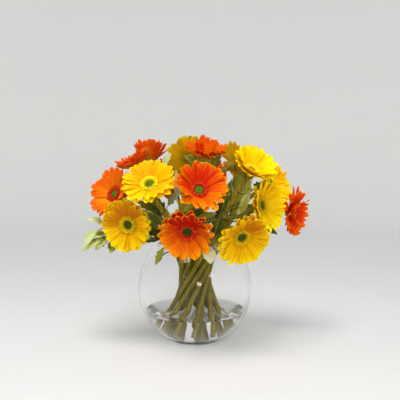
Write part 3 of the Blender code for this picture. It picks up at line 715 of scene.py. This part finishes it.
def make_bowl(glass):
    """Glass bowl, turned about Z: the outside, a half-round rim, and the inside back down."""
    outside = bowl_curve(BOWL_RADIUS, BOWL_DEPTH, BASE_RADIUS, MOUTH_RADIUS + WALL / 2)[1:]
    foot = [(0, 0), (BASE_RADIUS * 0.5, 0), (BASE_RADIUS - 0.003, 0), (BASE_RADIUS - 0.001, 0.0002),
            (BASE_RADIUS + 0.0004, 0.001)]
    inside = inside_curve()[::-1]
    turn = np.linspace(0, math.pi, 9)[1:-1]
    middle = (outside[-1] + inside[0]) / 2
    reach = (outside[-1] - inside[0]) / 2
    lift = np.array([-reach[1], reach[0]])
    rim = middle + np.cos(turn)[:, None] * reach + np.sin(turn)[:, None] * lift
    floor = [(inside[-1][0] * 0.6, BASE_THICKNESS), (0, BASE_THICKNESS)]
    profile = np.concatenate([foot, outside, rim, inside, floor])
    bowl = turned(profile, BOWL_SIDES)
    make_piece("glass_bowl", [bowl], [glass], "vase", crease=70)


def make_water(water):
    """Water: the bowl's inside up to the water level, just inside the wall, with a raised edge."""
    side = inside_curve(-GAP)
    side = side[side[:, 1] < WATER_LEVEL]
    edge = np.interp(WATER_LEVEL, *inside_curve(-GAP)[:BOWL_STEPS, ::-1].T)
    climb = np.array([edge, WATER_LEVEL]) + WATER_EDGE
    start = [(0, BASE_THICKNESS + GAP), (side[0, 0] * 0.6, BASE_THICKNESS + GAP)]
    profile = np.concatenate([start, side, climb, [(edge * 0.5, WATER_LEVEL), (0, WATER_LEVEL)]])
    filling = turned(profile, BOWL_SIDES)
    make_piece("bowl_water", [filling], [water], "water", crease=80)


# Stems


def cubic(start, first, second, end, t):
    """Points of a cubic Bezier curve at the values t."""
    t = t[:, None]
    u = 1 - t
    return start * u ** 3 + first * 3 * u * u * t + second * 3 * u * t * t + end * t ** 3


def waist_line(name):
    """A stem's point on its waist circle, and its direction: 1 up and the lean round the circle."""
    for radius, lean, first_angle, names in WAIST_CIRCLES:
        if name in names:
            turn = math.radians(first_angle + 360.0 * names.index(name) / len(names))
            point = np.array([radius * math.cos(turn), radius * math.sin(turn), WAIST_Z])
            return point, unit([-math.sin(turn) * lean, math.cos(turn) * lean, 1.0])


def cut_end(name, radius):
    """The lowest point of a stem's line that keeps its clearance from the bowl's inside."""
    point, rise = waist_line(name)
    line = point - rise * (END_STEP * np.arange(END_STEPS))[:, None]
    wide, depth = BOWL_RADIUS - WALL, BOWL_DEPTH - WALL
    out = np.hypot(line[:, 0], line[:, 1])
    drop = BOWL_CENTRE_Z - line[:, 2]
    room = (1 - (out / wide) ** 2 - (drop / depth) ** 2) / (
        2 * np.hypot(out / wide ** 2, drop / depth ** 2))
    room = np.minimum(room, line[:, 2] - BASE_THICKNESS)
    return line[np.argmax(room < radius + END_CLEARANCE) - 1]


def straight_part(name, radius, steps):
    """Points of a stem's straight stretch, and its direction."""
    point, rise = waist_line(name)
    top = point + rise * ((STRAIGHT_TOP_Z - WAIST_Z) / rise[2])
    low = cut_end(name, radius)
    return low + (top - low) * np.linspace(0, 1, steps)[:, None], rise


def frame_of(facing, spin):
    """Two unit vectors square to the way a bloom faces, turned about it by the spin."""
    side = np.array([0, 0, 1.0]) if abs(facing[2]) < 0.95 else np.array([0, 1.0, 0])
    first = unit(np.cross(side, facing))
    first = first * math.cos(spin) + np.cross(facing, first) * math.sin(spin)
    return first, np.cross(facing, first)


def to_world(local, seat, spin=0.0):
    """Points of a bloom's own frame, in the row frame; its seat is its centre and facing."""
    centre, facing = seat
    first, second = frame_of(facing, spin)
    return centre + local[..., :1] * first + local[..., 1:2] * second + local[..., 2:] * facing


def axis_solid(rings, low, high, seat, spin=0.0, rim=0.0, finish=0):
    """A solid from rings in a bloom's own frame, closed on its axis at two heights."""
    start, end = to_world(np.array([(0, 0, low), (0, 0, high)]), seat, spin)
    return ringed_solid(to_world(rings, seat, spin), start, end, 0.0, rim, finish)


def make_stem(name, material, seat, seed):
    """Stem tube along its curve, swelling into the calyx, with two rings of pointed bracts."""
    chance = np.random.default_rng(BRACT_SEED + seed)
    centre, facing = seat
    straight, rise = straight_part(name, STEM_RADIUS, STRAIGHT_STEPS)
    calyx = np.array(CALYX_RINGS)
    swelling = centre - facing * (CORE_HALF_HEIGHT + GAP + calyx[:, :1])
    neck = swelling[0]
    reach = np.linalg.norm(neck - straight[-1])
    bend = cubic(straight[-1], straight[-1] + rise * reach * LOWER_HANDLE,
                 neck - facing * reach * UPPER_HANDLE, neck, np.linspace(0, 1, BEND_STEPS)[1:])
    path = np.concatenate([straight, bend, swelling[1:]])
    even = len(straight) + len(bend)
    radii = np.concatenate([np.full(even, STEM_RADIUS), calyx[1:, 1]])
    length = np.linspace(0, 1, len(path))
    radii[:even] *= 1.1 - 0.09 * length[:even] + 0.02 * np.sin(length[:even] * 40 + seed)
    radii[len(straight):even] *= STOUT_STEMS.get(name, 1.0)
    hint = unit(np.cross([0, 0, 1.0], facing) + (1e-3, 0, 0))
    brown = np.clip((length - 0.8) * 3.5, 0, 1) * 0.6
    brown = np.append(np.repeat(brown, STEM_SIDES), [0, 0.6])
    parts = [tube(path, radii, STEM_SIDES, hint, brown)]
    bracts = []
    for count, low, high, out, offset in BRACT_RINGS:
        angle = 2 * math.pi * (np.arange(count) + offset) / count + chance.normal(0, 0.05, count)
        t, v = sheet_grid(7, 3)
        back = low + (high - low) * t
        radius = np.interp(back, calyx[::-1, 0], calyx[::-1, 1]) + out + 0.0004 * t
        wide = BRACT_HALF_WIDTH * np.sin(math.pi * (0.3 + 0.7 * t)) ** 0.8 + 0.0001
        turn = angle[:, None, None] + v * wide / radius
        bracts.append(swung(radius - 0.0003 * v ** 2, 0, -back - CORE_HALF_HEIGHT - GAP, turn))
    for grid in bracts:
        grid = to_world(grid, seat)[:, :, ::-1]
        parts.append(thin_shells(grid, BRACT_THICKNESS, chance.uniform(0.1, 0.7, len(grid))))
    make_piece("stalk_" + name, parts, [material], "stem_" + name)


# Blooms


def petal_sheets(count, length, width, slope, root_height, cup, ragged, chance):
    """Sheets of one layer of petals, in the bloom's own frame.

    u runs from root to tip and v from edge to edge. The midline goes out by the length times
    the slope's cosine and up by the slope's tangent less a droop with u squared. The half
    width grows as a quarter sine wave to u = 0.82 and then rounds off, and the tip is cut back
    by v squared and by two notches. Across, the petal is a trough with two grooves, and it
    twists and bends sideways by random amounts with u. Each petal has a ragged chance of being
    twisted, lifted and shortened most.
    """
    u, v = sheet_grid(PETAL_ROWS, PETAL_COLUMNS, -0.03)
    draw = lambda low, high: chance.uniform(low, high, (count, 1, 1))
    wild = (draw(0, 1) < ragged[:, None, None]) * np.sign(draw(-1, 1))
    size = PETAL_LENGTH * length * draw(0.91, 1.04) * (1 - 0.16 * abs(wild))
    tilt = np.radians(slope + cup + draw(-2.2, 2.2))
    twist = np.radians(6 + draw(-10, 10)) * np.clip(u, 0, 1)
    twist = twist + wild * 1.1 * u ** 2
    bend = size * draw(-0.07, 0.07) * u ** 2
    grown = 0.34 + 0.66 * np.sin(math.pi / 2 * np.clip(u / 0.82, 0, 1))
    rounded = 1 - draw(0.34, 0.56) * np.clip((u - 0.76) / 0.24, 0, 1) ** 2
    half = PETAL_WIDTH / 2 * width * draw(0.88, 1.08) * grown * rounded
    notch = draw(0.0, 0.08) * (1 - np.cos(8 * math.pi * v / 3)) / 2
    cut = size * (0.065 * v ** 2 + notch) * np.clip(u, 0, 1) ** 7
    run = size * u * np.cos(tilt) - cut
    rise = size * (np.tan(tilt) * u - PETAL_DROOP * u ** 2) + root_height
    rise = rise + size * draw(-0.05, 0.02) * np.clip(u - 0.55, 0, 1) ** 2 * 4
    rise = rise + 0.0005 * np.sin(u * 7 + draw(0, 6.3)) + 0.24 * size * abs(wild) * u ** 2
    trough = draw(0.0, 0.22) * half * v ** 2 * np.sin(math.pi * np.clip(u, 0, 1) * 0.8)
    groove = 0.00022 * np.cos(2 * math.pi * v) * np.sin(math.pi * np.clip(u, 0, 1))
    up = trough + groove + 0.0003 * v * np.sin(5 * u + draw(0, 6.3))
    up = up + 0.0004 * v ** 4 * np.sin(19 * u + draw(0, 6.3)) * np.clip(u, 0, 1)
    aside = half * v * np.cos(twist) - up * np.sin(twist) + bend
    above = rise + half * v * np.sin(twist) + up * np.cos(twist)
    out = CORE_RADIUS * math.cos(math.pi / SOLID_CORE_SIDES) + run
    angle = 2 * math.pi * np.arange(count)[:, None, None] / count + draw(-0.05, 0.05)
    return swung(out, aside, above, angle)


def collar_sheets(count, root, tip, low, high, width, chance):
    """Sheets of one ring of short florets, in the bloom's own frame.

    They go straight out and rise by part of a sine wave, so that they curl over at the tip.
    Their width swells by a sine wave and closes at the tip by u to the fourth.
    """
    u, v = sheet_grid(6, 3)
    draw = lambda least, most: chance.uniform(least, most, (count, 1, 1))
    reach = draw(0.86, 1.06)
    out = root + (tip - root) * u * reach
    curl = np.sin(math.pi * 0.62 * u) / math.sin(math.pi * 0.62)
    above = low + (high - low) * curl * draw(0.8, 1.15)
    half = width / 2 * (0.65 + 0.35 * np.sin(math.pi * u)) * np.sqrt(1.02 - u ** 4)
    aside = half * v + 0.0009 * draw(-1, 1) * u ** 2
    above = above + half * 0.35 * v ** 2
    angle = 2 * math.pi * np.arange(count)[:, None, None] / count + draw(-0.06, 0.06)
    return swung(out, aside, above, angle)


def make_petals(name, finishes, seat, cup, reach, ragged, spread, seed):
    """All petals of a bloom, its collar, and the disc that they grow from."""
    chance = np.random.default_rng(seed)
    spin = chance.uniform(0, 2 * math.pi)
    parts = []
    side = unit(RAGGED_SIDES.get(name, (0, 0.01, 0)))
    layers = PETAL_LAYERS + ((INNER_PETALS[name],) if name in INNER_PETALS else ())
    for k, (count, length, width, slope, height) in enumerate(layers):
        turn = 2 * math.pi * np.arange(count) / count
        first, second = frame_of(seat[1], spin + k * math.pi / count)
        towards = np.cos(turn) * (first @ side) + np.sin(turn) * (second @ side)
        untidy = ragged + 0.8 * (towards > 0.72)
        grid = petal_sheets(count, length * reach, width * spread, slope, height, cup, untidy,
                            chance)
        grid = to_world(grid, seat, spin + k * math.pi / count)
        middle = PETAL_COLUMNS // 2
        rise = unit(grid[:, -1, middle] - grid[:, 0, middle])[:, 2]
        # Painted shade: the more a petal points up, the more its face turns from the light above
        # and takes the fold's colour
        top_shade = np.clip(0.35 + 0.8 * rise + chance.normal(0, 0.18, count), 0, 1)
        parts.append(thin_shells(grid, PETAL_THICKNESS, chance.uniform(0, 1, count), top_shade))
    for k, (count, root, tip, low, high, width) in enumerate(COLLAR_LAYERS):
        grid = collar_sheets(count, root, tip, low, high, width, chance)
        grid = to_world(grid, seat, spin + k * 0.04)
        tone = 0.5 * k + chance.uniform(-0.3, 0.4, count)
        parts.append(thin_shells(grid, COLLAR_THICKNESS, tone, finish=1))
    radius = np.array([0.5, 1.0, 1.05, 1.0, 0.8])[:, None] * CORE_RADIUS
    height = np.array([-1, -1, 0, 1, 1.2])[:, None] * CORE_HALF_HEIGHT
    rings = swung(radius, 0, height, circle(CORE_SIDES))
    parts.append(axis_solid(rings, -CORE_HALF_HEIGHT, CORE_HALF_HEIGHT, seat, spin, finish=1))
    make_piece("bloom_" + name, parts, finishes, "petals_" + name)


def make_eye(name, material, seat, dark, seed):
    """Domed eye: height falls with radius squared, and two sets of spirals raise small bumps.

    A ring of short curved threads stands round it.
    """
    chance = np.random.default_rng(EYE_SEED + seed)
    base = CORE_HALF_HEIGHT + GAP
    angle = circle(EYE_SIDES)
    share = np.array(EYE_RINGS)[:, None]
    height = EYE_DOME * (1 - share ** 2) + EYE_EDGE
    height[0] = 0.0
    spiral = np.cos(13 * angle + 26 * share) * np.cos(8 * angle - 26 * share)
    height = height + 0.00035 * spiral * np.clip((1 - share) * 8, 0, 1)
    height = height - 0.0003 * np.exp(-(share / 0.4) ** 2)
    rings = swung(share * EYE_RADIUS, 0, base + height, angle)
    parts = [axis_solid(rings, base, base + EYE_DOME, seat, rim=dark)]
    u, v = sheet_grid(5, 2)
    each = (THREAD_COUNT, 1, 1)
    turn = 2 * math.pi * np.arange(THREAD_COUNT)[:, None, None] / THREAD_COUNT
    turn = turn + chance.normal(0, 0.05, each)
    tall = chance.uniform(0.0026, 0.004, each)
    out = THREAD_RING + 0.0012 * u ** 2 * chance.uniform(-0.4, 1.4, each)
    aside = THREAD_HALF_WIDTH * v * (1.1 - u)
    grid = to_world(swung(out, aside, base + 0.0004 + tall * u, turn), seat)
    parts.append(thin_shells(grid, COLLAR_THICKNESS, np.ones(THREAD_COUNT), dark * 0.5))
    make_piece("disc_" + name, parts, [material], "eye_" + name)


# Leafy stems


def leaf_parts(curve, share, base, tip, width, face, look, seed):
    """A leaf stalk and its blade.

    Along the blade, s runs from base to tip and v from edge to edge. The midline is the chord
    raised by a parabola. The half width is a sine arch times a cosine that makes three pairs
    of lobes and a saw that makes teeth. The edges are folded up from the midline, sweep
    towards the tip and wave with s.
    """
    chance = np.random.default_rng(seed)
    root = curve(np.array([share]))[0]
    along = unit(tip - base)
    across = unit(np.cross(face, along))
    arch = np.cross(along, across)
    handle = np.linalg.norm(base - root) * STALK_HANDLE
    path = cubic(root, root + (base - root) * STALK_HANDLE, base - along * handle, base,
                 np.linspace(0, 1, STALK_STEPS))
    radii = np.linspace(1.6, 1.2, STALK_STEPS) * STALK_RADIUS
    stalk = tube(path, radii, STALK_SIDES, across, look[0] * 0.5)
    s = np.linspace(0, 1, BLADE_ROWS)[:, None]
    v = np.linspace(-1, 1, BLADE_COLUMNS)[None, :]
    length = np.linalg.norm(tip - base)
    depth = chance.uniform(0.04, 0.1 if look[1] > 0.4 else 0.22)
    lobes = 1 - depth + depth * np.cos(2 * math.pi * (s - 0.27 + 0.03 * np.sign(v)) / 0.29)
    teeth = 1 - 0.1 * ((s * 9 + 0.3 + 0.4 * (v > 0)) % 1)
    half = np.sin(math.pi * s ** 0.78) ** 0.95 * lobes * teeth * width * BLADE_SPREAD / 2
    half = np.maximum(half, STALK_RADIUS * 0.5)
    fold = math.radians(chance.uniform(6, 24))
    curl = chance.uniform(-0.1, 0.14) * length * s ** 3
    lift = length * BLADE_ARCH * 4 * s * (1 - s) - curl + half * np.abs(v) ** 1.3 * math.sin(fold)
    wave = chance.uniform(0.02, 0.07) * width * v ** 2 * np.sin(s * 17 + chance.uniform(0, 6.3))
    wave = wave * np.sin(math.pi * s)
    sweep = 0.32 * half * np.abs(v) ** 1.5
    grid = (base + along * (s * length + sweep * (1 - s))[..., None]
            + across * (half * v * math.cos(fold))[..., None]
            + arch * (lift + wave)[..., None])
    blade = thin_shells(grid[None], BLADE_THICKNESS, [look[0]], look[1])
    return [stalk, blade]


def make_spray(side, leaf, stem):
    """One leafy stem: its main stem's tube, and each leaf's stalk and blade."""
    name = "foliage_" + side
    end, pointing = SPRAYS[side]
    end, pointing = np.array(end), unit(pointing)
    straight, rise = straight_part(name, FOLIAGE_STEM_RADIUS, FOLIAGE_STRAIGHT_STEPS)
    reach = np.linalg.norm(end - straight[-1])

    def curve(t):
        """Points of the main stem's bend, a cubic curve from 0 at its foot to 1 at its end."""
        return cubic(straight[-1], straight[-1] + rise * reach * LOWER_HANDLE,
                     end - pointing * reach * LOWER_HANDLE, end, t)

    path = np.concatenate([straight, curve(np.linspace(0, 1, FOLIAGE_BEND_STEPS)[1:])])
    radii = FOLIAGE_STEM_RADIUS * np.linspace(1.02, 0.85, len(path))
    parts = [tube(path, radii, FOLIAGE_SIDES, np.array([1.0, 0, 0.1]), 0.15, 1)]
    for number, (spray, share, base, tip, width, look) in enumerate(LEAVES + BACK_LEAVES):
        if spray == side:
            face = FRONT_FACE if number < len(LEAVES) else BACK_FACE
            base, tip = np.array([base, tip])
            parts += leaf_parts(curve, share, base, tip, width, face, look, LEAF_SEED + number)
    for number, (spray, share, base, tip, depth, width, look) in enumerate(MORE_LEAVES):
        if spray == side:
            base, tip = seen_at(base, depth + LEAF_LEAN), seen_at(tip, depth - LEAF_LEAN)
            parts += leaf_parts(curve, share, base, tip, width, FRONT_FACE, look,
                                MORE_LEAF_SEED + number)
    make_piece("leafy_stem_" + side, parts, [leaf, stem], name)


# Floor, world and the whole scene


def add_floor():
    """Round pale floor: flat, then a quarter circle up into a wall, turned about Z."""
    turn = np.linspace(0, math.pi / 2, 12)
    curve = np.stack([1.7 + 0.5 * np.sin(turn), 0.5 - 0.5 * np.cos(turn)], axis=1)
    profile = np.concatenate([[(0.4, 0.0), (1.0, 0.0)], curve, [(2.2, 1.8)]])
    rings = swung(profile[:, :1], 0, profile[:, 1:], circle(FLOOR_SIDES))
    points = np.concatenate([rings.reshape(-1, 3), [(0, 0, 0)]]) - (0, 0, FLOOR_DROP)
    here, beside, quads = ring_faces(len(profile), FLOOR_SIDES)
    mesh = bpy.data.meshes.new("floor")
    mesh.from_pydata(points.tolist(), [], quads[:, ::-1].tolist()
                     + fan(len(points) - 1, here, beside).tolist())
    mesh.polygons.foreach_set("use_smooth", np.ones(len(mesh.polygons), bool))
    mesh.materials.append(floor_finish())
    add_object("floor", mesh)


def add_world():
    """Pale even light from all round, and plain colour rendering."""
    world = bpy.data.worlds.new("studio")
    world.use_nodes = True
    background = world.node_tree.nodes["Background"]
    background.inputs["Color"].default_value = (0.95, 0.97, 1.0, 1)
    background.inputs["Strength"].default_value = 0.42
    bpy.context.scene.world = world
    bpy.context.scene.view_settings.view_transform = "Standard"


add_camera()
add_floor()
add_world()
for light in LIGHTS:
    add_light(*light)

make_bowl(clear_finish("clear_glass", (0.985, 0.99, 0.988), 1.46, (0.3, 0.3, 0.3), 14.0, 0.0006))
make_water(clear_finish("clear_water", (0.99, 0.995, 0.99), 1.33, (1.0, 1.0, 1.0), 90.0, 0.0008))

# Looks of blooms: slot, collar, how dark the eye is, share of petals that are twisted, their
# width beside the usual, and their finish: colour at the root, in the middle, at the tip, along
# the edges, of the folds and behind, and the top shade. The folds' colour is painted shade in
# the grooves and on petals that point up, by the top shade's share, and it is also the colour
# of random deeper petals and of the fine lines.
LOOKS = {
    "lemon": ("yellow", "yellow", 0.1, 0.03, 1.0, (
        (0.78, 0.38, 0.0), (0.98, 0.58, 0.0), (1.0, 0.69, 0.001), (1.0, 0.84, 0.003),
        (0.82, 0.33, 0.0), (0.85, 0.52, 0.003), 0.85)),
    "canary": ("yellow", "yellow", 0.1, 0.03, 1.0, (
        (0.8, 0.46, 0.0), (1.0, 0.68, 0.0), (1.0, 0.82, 0.001), (1.0, 0.9, 0.003),
        (0.88, 0.42, 0.0), (0.88, 0.24, 0.003), 0.15)),
    "amber": ("yellow", "golden", 0.6, 0.03, 1.0, (
        (0.66, 0.32, 0.0), (1.0, 0.64, 0.0), (1.0, 0.77, 0.001), (1.0, 0.86, 0.003),
        (0.74, 0.35, 0.0), (0.88, 0.52, 0.003), 0.75)),
    "golden": ("yellow", "golden", 0.75, 0.03, 1.0, (
        (0.58, 0.23, 0.0), (0.94, 0.5, 0.0), (0.95, 0.66, 0.001), (1.0, 0.8, 0.002),
        (0.49, 0.15, 0.0), (0.86, 0.5, 0.004), 1.0)),
    "orange": ("orange", "crimson", 0.1, 0.06, 1.0, (
        (0.54, 0.02, 0.0), (0.92, 0.18, 0.0), (0.97, 0.3, 0.001), (1.0, 0.48, 0.002),
        (0.6, 0.016, 0.0), (0.75, 0.16, 0.003), 1.05)),
    "ember": ("orange", "crimson", 0.85, 0.06, 1.0, (
        (0.32, 0.01, 0.0), (0.95, 0.16, 0.0), (1.0, 0.34, 0.001), (1.0, 0.45, 0.002),
        (0.4, 0.006, 0.0), (0.7, 0.1, 0.003), 2.0)),
    "flame": ("orange", "crimson", 0.1, 0.06, 0.96, (
        (0.94, 0.4, 0.002), (0.94, 0.28, 0.001), (0.9, 0.11, 0.0), (0.96, 0.32, 0.001),
        (0.62, 0.04, 0.0), (0.62, 0.02, 0.002), 0.45)),
    "scarlet": ("orange", "crimson", 0.1, 0.34, 0.88, (
        (0.5, 0.012, 0.0), (0.82, 0.04, 0.0), (0.96, 0.15, 0.001), (1.0, 0.32, 0.002),
        (0.54, 0.008, 0.0), (0.76, 0.15, 0.003), 0.7)),
}
# Collar finishes: colour of the florets, of the inner ones' tips and at the roots
COLLAR_LOOKS = {
    "yellow": ((0.93, 0.76, 0.006), (1.0, 0.86, 0.08), (0.5, 0.32, 0.0)),
    "golden": ((0.68, 0.42, 0.002), (0.95, 0.74, 0.05), (0.36, 0.19, 0.0)),
    "crimson": ((0.6, 0.016, 0.003), (0.95, 0.28, 0.06), (0.3, 0.006, 0.001)),
}
PETALS = {look: petal_finish("petal_" + look, *row[-1]) for look, row in LOOKS.items()}
COLLARS = {look: collar_finish("collar_" + look, *row) for look, row in COLLAR_LOOKS.items()}
EYE = eye_finish()
STEM = stem_finish()
LEAF = leaf_finish()

for number, (name, look, centre, facing, cup, reach) in enumerate(BLOOMS):
    seat = (np.array(centre), unit(facing))
    slot, collar, eye_shade, ragged, spread, _ = LOOKS[look]
    make_petals(name, [PETALS[look], COLLARS[collar]], seat, cup, reach,
                ragged, spread, PETAL_SEED + number)
    make_eye(name, EYE, seat, eye_shade, number)
    make_stem(name, STEM, seat, number)
for side in SPRAYS:
    make_spray(side, LEAF, STEM)
